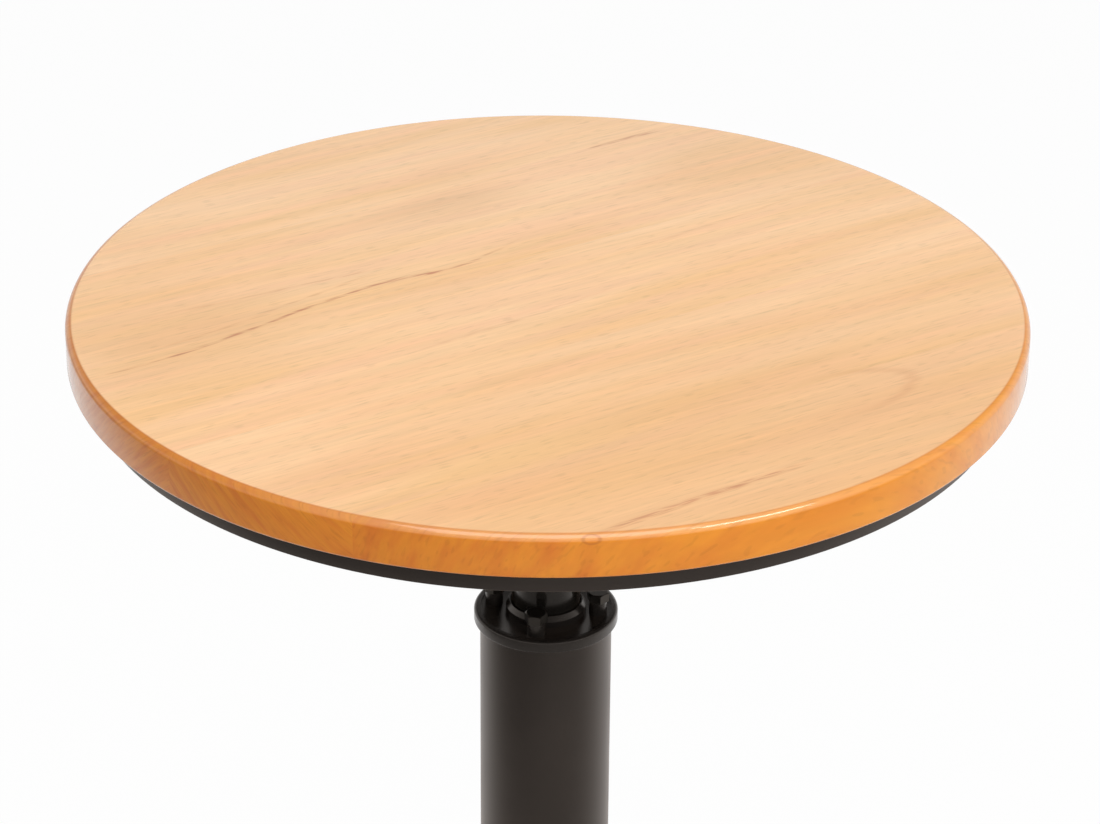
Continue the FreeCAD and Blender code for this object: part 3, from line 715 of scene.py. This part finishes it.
def plastic(name):
    # Moulded or turned plastic: even colour, dull, with a fine grain from the mould or the tool
    look = {**plasticSet, **plasticLooks[name]}
    material, tree, shader, coords = cloudyMaterial(name, look, {})
    fine = addNode(tree, "ShaderNodeTexNoise", {
        "Vector": (coords, "Object"), "Scale": 1 / (look["grainSize"] * mm), "Detail": look["grainDetail"]})
    bump = addNode(tree, "ShaderNodeBump", {
        "Strength": look["grainStrength"], "Distance": look["grainDepth"] * mm, "Height": (fine, 0)})
    tree.links.new(bump.outputs[0], shader.inputs["Normal"])
    return material


slotMaterials = {
    "varnished_timber": varnishedTimber(),
    "brown_black_paint": paint("powderCoatedSteel"),
    "gloss_black_paint": paint("glossEnamelledTube"),
    "gland_casting": paint("enamelledCasting"),
    "black_fastener": metal("blackOxideSteel"),
    "zinc_fastener": metal("brightZincSteel"),
    "bare_steel": metal("turnedSteel"),
    "guide_nylon": plastic("turnedNylon"),
    "glide_plastic": plastic("mouldedPolyethylene"),
}
print("materials made")


# CAD nodes: merged and smoothed by a modifier, with the finish of their slot

smoothUnder = 28        # degrees: sharper edges stay crisp


def smoothingTree():
    tree = bpy.data.node_groups.new("softShading", "GeometryNodeTree")
    tree.interface.new_socket("Geometry", in_out="INPUT", socket_type="NodeSocketGeometry")
    tree.interface.new_socket("Geometry", in_out="OUTPUT", socket_type="NodeSocketGeometry")
    start = addNode(tree, "NodeGroupInput")
    merged = addNode(tree, "GeometryNodeMergeByDistance", {"Geometry": (start, 0), "Distance": samePoint})
    angle = addNode(tree, "GeometryNodeInputMeshEdgeAngle")
    gentle = addNode(tree, "FunctionNodeCompare", {
        0: (angle, "Unsigned Angle"), 1: math.radians(smoothUnder)}, data_type="FLOAT", operation="LESS_THAN")
    faces = addNode(tree, "GeometryNodeSetShadeSmooth", {
        "Geometry": (merged, 0), "Shade Smooth": True}, domain="FACE")
    edges = addNode(tree, "GeometryNodeSetShadeSmooth", {
        "Geometry": (faces, 0), "Shade Smooth": (gentle, 0)}, domain="EDGE")
    addNode(tree, "NodeGroupOutput", {0: (edges, 0)})
    return tree


softShading = smoothingTree()
slotOfNode = {part["node"]: part["material_slot"] for part in frame["record"]["subparts"]}
for nodeName, node in cadNodes.items():
    node.data.materials.clear()
    node.data.materials.append(slotMaterials[slotOfNode[nodeName]])
    shading = node.modifiers.new("softShading", "NODES")
    shading.node_group = softShading
print("CAD nodes dressed")


# Timber top: one turned disc, rounded above, cut along its glue lines into boards

topSet = {
    "sides": 288,
    "upperRound": 5 * mm,
    "upperSteps": 12,
    "lowerRound": 2 * mm,
    "lowerSteps": 4,
    "boards": 5,
}


def makeTop():
    boxes = [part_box(f"top_board_{i + 1}") for i in range(topSet["boards"])]
    low = min(b[0].z for b in boxes)
    high = max(b[1].z for b in boxes)
    # Rounded, because the mesh keeps its points in single precision
    radius = round(max(b[1].x for b in boxes), 3)
    deselectAll()
    bpy.ops.mesh.primitive_cylinder_add(
        vertices=topSet["sides"], radius=radius, depth=high - low, location=(0, 0, (low + high) / 2))
    disc = bpy.context.object
    bpy.ops.object.transform_apply(location=True)
    pickEdges(disc, lambda p: p.z > high - mm)
    bpy.ops.mesh.bevel(offset=topSet["upperRound"], segments=topSet["upperSteps"], affect="EDGES")
    pickEdges(disc, lambda p: p.z < low + mm)
    bpy.ops.mesh.bevel(offset=topSet["lowerRound"], segments=topSet["lowerSteps"], affect="EDGES")
    bpy.ops.object.mode_set(mode="OBJECT")

    turn = math.radians(timberLook["grainAngle"])
    across = Vector((-math.sin(turn), math.cos(turn), 0))
    width = 2 * radius / topSet["boards"]
    for index in range(topSet["boards"]):
        board = disc.copy()
        board.data = disc.data.copy()
        bpy.context.scene.collection.objects.link(board)
        near = -radius + index * width
        for seam, keepsFar in ((near, True), (near + width, False)):
            # The outer boards end at the rim, with no seam to cut there
            if abs(abs(seam) - radius) < mm:
                continue
            pickOnly(board)
            bpy.ops.object.mode_set(mode="EDIT")
            bpy.ops.mesh.select_all(action="SELECT")
            bpy.ops.mesh.bisect(
                plane_co=across * seam, plane_no=across, use_fill=True,
                clear_inner=keepsFar, clear_outer=not keepsFar)
            bpy.ops.object.mode_set(mode="OBJECT")
        finishPiece(board, f"board_{index + 1}", slotMaterials["varnished_timber"], "top",
                    [f"top_board_{index + 1}"])
    bpy.data.objects.remove(disc)


makeTop()
print("top made")


# Turned pieces: a ring walked round its section, then rounded at its corners

roundSteps = 4


def turnedPiece(section, sides, capped=False):
    # section: (radius, height, rounding) of each corner, in order; capped pieces are solid, others are tubes
    deselectAll()
    radius, height, _ = section[0]
    bpy.ops.mesh.primitive_circle_add(
        vertices=sides, radius=radius, fill_type="NOTHING", location=(0, 0, height))
    piece = bpy.context.object
    bpy.ops.object.transform_apply(location=True)
    bpy.ops.object.mode_set(mode="EDIT")
    bpy.ops.mesh.select_all(action="SELECT")
    for nextRadius, nextHeight, _ in section[1:] + ([] if capped else section[:1]):
        bpy.ops.mesh.extrude_region_move(TRANSFORM_OT_translate={"value": (0, 0, nextHeight - height)})
        grow = nextRadius / radius
        bpy.ops.transform.resize(value=(grow, grow, 1), center_override=(0, 0, nextHeight))
        radius, height = nextRadius, nextHeight
    if capped:
        bpy.ops.mesh.edge_face_add()
        pickEdges(piece, lambda p: abs(p.z - section[0][1]) < samePoint)
        bpy.ops.mesh.edge_face_add()
    bpy.ops.mesh.select_all(action="SELECT")
    bpy.ops.mesh.remove_doubles(threshold=samePoint)
    bpy.ops.mesh.normals_make_consistent(inside=False)
    for corner, cornerHeight, rounding in section:
        if rounding:
            pickEdges(piece, lambda p: (abs(math.hypot(p.x, p.y) - corner) < sameCorner
                                        and abs(p.z - cornerHeight) < sameCorner))
            bpy.ops.mesh.bevel(offset=rounding, segments=roundSteps, affect="EDGES")
    bpy.ops.object.mode_set(mode="OBJECT")
    return piece


tubeSides = 192
tubeSet = {
    "hoop": {
        "node": "apron_ring", "body": "top", "slot": "brown_black_paint", "wall": 5 * mm, "round": 0.6 * mm},
    "post": {
        "node": "post_tube", "body": "top", "slot": "gloss_black_paint", "wall": 2.5 * mm, "round": 0.5 * mm},
    "column": {
        "node": "column_tube", "body": "stand", "slot": "brown_black_paint",
        "wall": 2 * mm, "round": 0.5 * mm},
}


def makeTubes():
    for name, tube in tubeSet.items():
        low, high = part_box(tube["node"])
        # Rounded, because the mesh keeps its points in single precision
        outer = round(high.x, 5)
        inner = outer - tube["wall"]
        rounding = tube["round"]
        piece = turnedPiece([
            (outer, low.z, rounding), (outer, high.z, rounding),
            (inner, high.z, rounding), (inner, low.z, rounding)], tubeSides)
        finishPiece(piece, name, slotMaterials[tube["slot"]], tube["body"], [tube["node"]])


makeTubes()
print("tubes made")


# Hex bolts and cross-head screws: one of each modelled, then copied to its places

hexShape = {
    "crown": 0.475,              # radius of the flat on the head, as a share of its width
    "coneSides": 72,
    "coneReach": 0.5,            # of the chamfering cone past the head at each end, in head heights
    "tip": 0.8 * mm,             # chamfer at the shank's end
    "sunk": 0.4,                 # how far the shank runs up into the head, as a share of its height
    "shankSides": 48,
}
screwShape = {
    "tip": 0.3,                  # radius of the blunt point, as a share of the shank's
    "taper": 2.2,                # length of the point, in shank radii
    "rim": 0.45,                 # height of the head's straight rim, as a share of the head's
    "shoulder": (0.8, 0.85),     # radius and height, as shares of the head's
    "crown": 0.5,                # radius of the flat on the head, as a share of the head's
    "recess": (1.05, 0.2, 1.1),  # length and width in head radii, height in head heights, half of it sunk
    "recessTaper": 0.6,
    "sides": 48,
}


def modify(piece, other, operation):
    change = piece.modifiers.new(operation, "BOOLEAN")
    change.operation = operation
    change.solver = "EXACT"
    change.object = other
    pickOnly(piece)
    bpy.ops.object.modifier_apply(modifier=change.name)
    bpy.data.objects.remove(other)


def hexBolt(bolt, length):
    # The head's seat at height 0, the shank below it
    headHeight = bolt["headHeight"]
    corner = bolt["headWidth"] / math.sqrt(3)
    crown = hexShape["crown"] * bolt["headWidth"]
    middle = (0, 0, headHeight / 2)
    deselectAll()
    bpy.ops.mesh.primitive_cylinder_add(
        vertices=6, radius=corner, depth=headHeight, location=middle, rotation=(0, 0, math.radians(30)))
    piece = bpy.context.object
    bpy.ops.object.transform_apply(location=True, rotation=True)
    deselectAll()
    # A cone that is as wide as the crown at the head's top takes off the corners at 30 degrees
    spread = headHeight * math.sqrt(3)
    reach = hexShape["coneReach"]
    bpy.ops.mesh.primitive_cone_add(
        vertices=hexShape["coneSides"], radius1=crown + (1 + reach) * spread, radius2=crown - reach * spread,
        depth=(1 + 2 * reach) * headHeight, location=middle)
    modify(piece, bpy.context.object, "INTERSECT")
    shank = bolt["shank"] / 2
    tip = hexShape["tip"]
    rod = turnedPiece([
        (shank - tip, -length, 0), (shank, tip - length, 0), (shank, hexShape["sunk"] * headHeight, 0)],
        hexShape["shankSides"], capped=True)
    modify(piece, rod, "UNION")
    return piece


def crossScrew(screw, length):
    # The head's seat at height 0, the shank below it
    headHeight = screw["headHeight"]
    headRadius = screw["headWidth"] / 2
    shank = screw["shank"] / 2
    shoulderRadius, shoulderHeight = screwShape["shoulder"]
    piece = turnedPiece([
        (screwShape["tip"] * shank, -length, 0), (shank, screwShape["taper"] * shank - length, 0),
        (shank, 0, 0), (headRadius, 0, 0), (headRadius, screwShape["rim"] * headHeight, 0),
        (shoulderRadius * headRadius, shoulderHeight * headHeight, 0),
        (screwShape["crown"] * headRadius, headHeight, 0)], screwShape["sides"], capped=True)
    recessLength, recessWidth, recessHeight = screwShape["recess"]
    narrow = screwShape["recessTaper"]
    for turn in (0, 90):
        deselectAll()
        bpy.ops.mesh.primitive_cube_add(
            size=1, location=(0, 0, headHeight), rotation=(0, 0, math.radians(turn)))
        slot = bpy.context.object
        slot.scale = (recessLength * headRadius, recessWidth * headRadius, recessHeight * headHeight)
        bpy.ops.object.transform_apply(location=True, rotation=True, scale=True)
        pickEdges(slot, lambda p: p.z < headHeight)
        bpy.ops.transform.resize(value=(narrow, narrow, 1), center_override=(0, 0, 0))
        bpy.ops.object.mode_set(mode="OBJECT")
        modify(piece, slot, "DIFFERENCE")
    return piece


fastenerSmoothing = 25      # degrees
fastenerSet = {
    "glandBolts": {
        "make": hexBolt, "node": "gland_bolts", "body": "stand", "slot": "black_fastener",
        "headWidth": 13 * mm, "headHeight": 6.2 * mm, "shank": 8 * mm, "pointsUp": False,
        "ring": 34.4 * mm, "angles": (-100.5, -10.5, 79.5, 169.5), "turns": (-70, 42, 154, 266)},
    "flangeBolts": {
        "make": hexBolt, "node": "flange_bolts", "body": "top", "slot": "zinc_fastener",
        "headWidth": 13 * mm, "headHeight": 5.3 * mm, "shank": 8 * mm, "pointsUp": True,
        "ring": 50 * mm, "angles": (0, 90, 180, 270), "turns": (0, 0, 0, 0)},
    "footBolts": {
        "make": hexBolt, "node": "foot_bolts", "body": "stand", "slot": "black_fastener",
        "headWidth": 16 * mm, "headHeight": 6.4 * mm, "shank": 10 * mm, "pointsUp": False,
        "ring": 78 * mm, "angles": (45, 135, 225, 315), "turns": (0, 0, 0, 0)},
    "topScrewsInner": {
        "make": crossScrew, "node": "top_screws", "body": "top", "slot": "zinc_fastener",
        "headWidth": 10 * mm, "headHeight": 3 * mm, "shank": 5 * mm, "pointsUp": True,
        "ring": 120 * mm, "angles": (45, 135, 225, 315), "turns": (12, 70, 33, 51)},
    "topScrewsOuter": {
        "make": crossScrew, "node": "top_screws", "body": "top", "slot": "zinc_fastener",
        "headWidth": 10 * mm, "headHeight": 3 * mm, "shank": 5 * mm, "pointsUp": True,
        "ring": 237.8 * mm, "angles": (45, 135, 225, 315), "turns": (81, 25, 64, 5)},
}


def placeCopies(model, places):
    # places: (x, y, z, turn about x, turn about z); the copies are joined into one piece
    copies = []
    for x, y, z, tip, turn in places:
        one = model.copy()
        one.data = model.data.copy()
        bpy.context.scene.collection.objects.link(one)
        one.location = (x, y, z)
        one.rotation_euler = (tip, 0, turn)
        copies.append(one)
    bpy.data.objects.remove(model)
    deselectAll()
    for one in copies:
        one.select_set(True)
    bpy.context.view_layer.objects.active = copies[0]
    bpy.ops.object.join()
    return copies[0]


def makeFasteners():
    for name, kind in fastenerSet.items():
        low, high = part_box(kind["node"])
        seat = low.z + kind["headHeight"] if kind["pointsUp"] else high.z - kind["headHeight"]
        length = high.z - low.z - kind["headHeight"]
        places = []
        for angle, turn in zip(kind["angles"], kind["turns"]):
            x = kind["ring"] * math.cos(math.radians(angle))
            y = kind["ring"] * math.sin(math.radians(angle))
            places.append((x, y, seat, math.pi if kind["pointsUp"] else 0, math.radians(turn)))
        piece = placeCopies(kind["make"](kind, length), places)
        finishPiece(piece, name, slotMaterials[kind["slot"]], kind["body"], [kind["node"]],
                    smoothAngle=fastenerSmoothing)


makeFasteners()
print("fasteners made")


# Weld beads of the frame: a run of scallops, laid where the arms meet the hoop and the hub

weldSet = {
    "bead": 2.3 * mm,
    "valley": 1.9 * mm,
    "pitch": 1.7 * mm,
    "scallops": 16,
    "ends": 0.6,             # radius and length of the bead's ends, in valleys and pitches
    "sides": 16,
    "hoopRing": 281.9 * mm,
    "hubRing": 74.6 * mm,
    "sunk": 0.4 * mm,        # the bead's middle, under the arms' lower face
    "angles": (45, 135, 225, 315),
    "smoothAngle": 60,       # degrees
}


def makeWelds():
    pitch = weldSet["pitch"]
    half = weldSet["scallops"] * pitch / 2
    endRadius = weldSet["ends"] * weldSet["valley"]
    endLength = weldSet["ends"] * pitch
    section = [(endRadius, -half - endLength, 0)]
    for step in range(2 * weldSet["scallops"] + 1):
        size = weldSet["bead"] if step % 2 else weldSet["valley"]
        section.append((size, -half + step * pitch / 2, 0))
    section.append((endRadius, half + endLength, 0))
    bead = turnedPiece(section, weldSet["sides"], capped=True)
    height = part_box("cross_arm_1")[0].z - weldSet["sunk"]
    places = []
    for ring in (weldSet["hoopRing"], weldSet["hubRing"]):
        for angle in weldSet["angles"]:
            turn = math.radians(angle)
            places.append((ring * math.cos(turn), ring * math.sin(turn), height, math.pi / 2, turn))
    welds = placeCopies(bead, places)
    finishPiece(welds, "frameWelds", slotMaterials["brown_black_paint"], "top", [],
                smoothAngle=weldSet["smoothAngle"])


makeWelds()
print("welds made")
